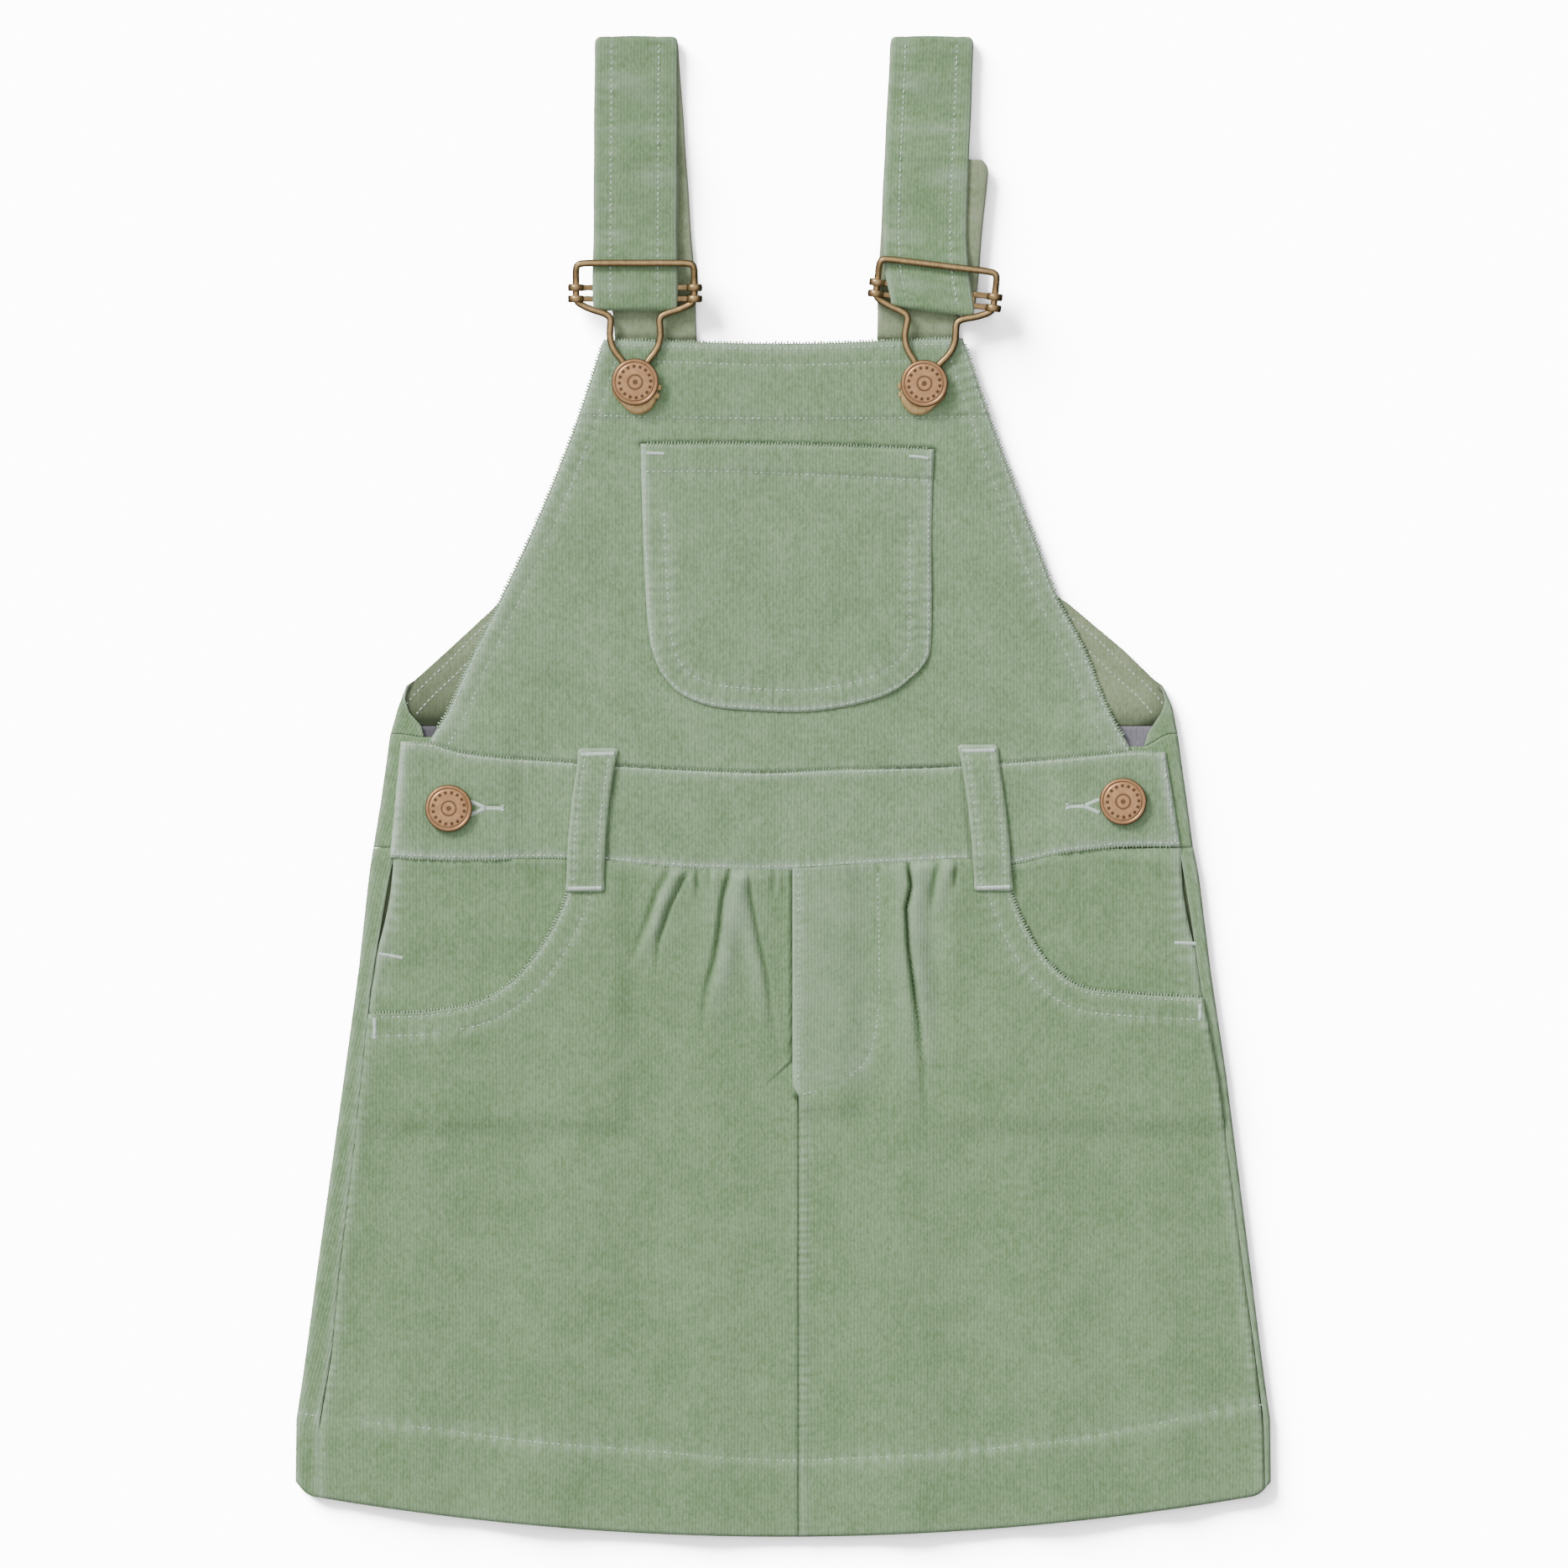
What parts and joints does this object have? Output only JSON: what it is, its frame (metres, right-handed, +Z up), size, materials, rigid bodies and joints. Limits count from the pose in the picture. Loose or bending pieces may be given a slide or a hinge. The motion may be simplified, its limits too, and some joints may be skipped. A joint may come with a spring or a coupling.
{
  "type": "pinafore dress",
  "caption": "Child's sage needlecord pinafore dress laid flat, with bib pocket, scoop pockets, brace buckles and antique brass buttons",
  "frame": {"origin": "middle of the surface that the dress lies on, under the middle of its box", "axes": "+X across the dress to the picture's right, +Y from the hem to the strap tops, +Z up from the surface"},
  "size_m": [0.3558, 0.5474, 0.0088],
  "materials": {
    "sage_corduroy": "matte",
    "antique_brass": "satin"
  },
  "bodies": {
    "root": {"back_skirt": "sage_corduroy", "back_waistband": "sage_corduroy", "back_bodice": "sage_corduroy", "pocket_bag_left": "sage_corduroy", "pocket_bag_right": "sage_corduroy", "front_skirt_left": "sage_corduroy", "front_skirt_right": "sage_corduroy", "front_waistband": "sage_corduroy", "bib": "sage_corduroy", "bib_pocket": "sage_corduroy", "belt_loop_left": "sage_corduroy", "belt_loop_right": "sage_corduroy", "strap_left": "sage_corduroy", "strap_right": "sage_corduroy", "buckle_left": "antique_brass", "crossbar_left": "antique_brass", "keyhole_plate_left": "antique_brass", "buckle_right": "antique_brass", "crossbar_right": "antique_brass", "keyhole_plate_right": "antique_brass", "bib_button_left": "antique_brass", "bib_button_right": "antique_brass", "waist_button_left": "antique_brass", "waist_button_right": "antique_brass"}
  },
  "joints": []
}
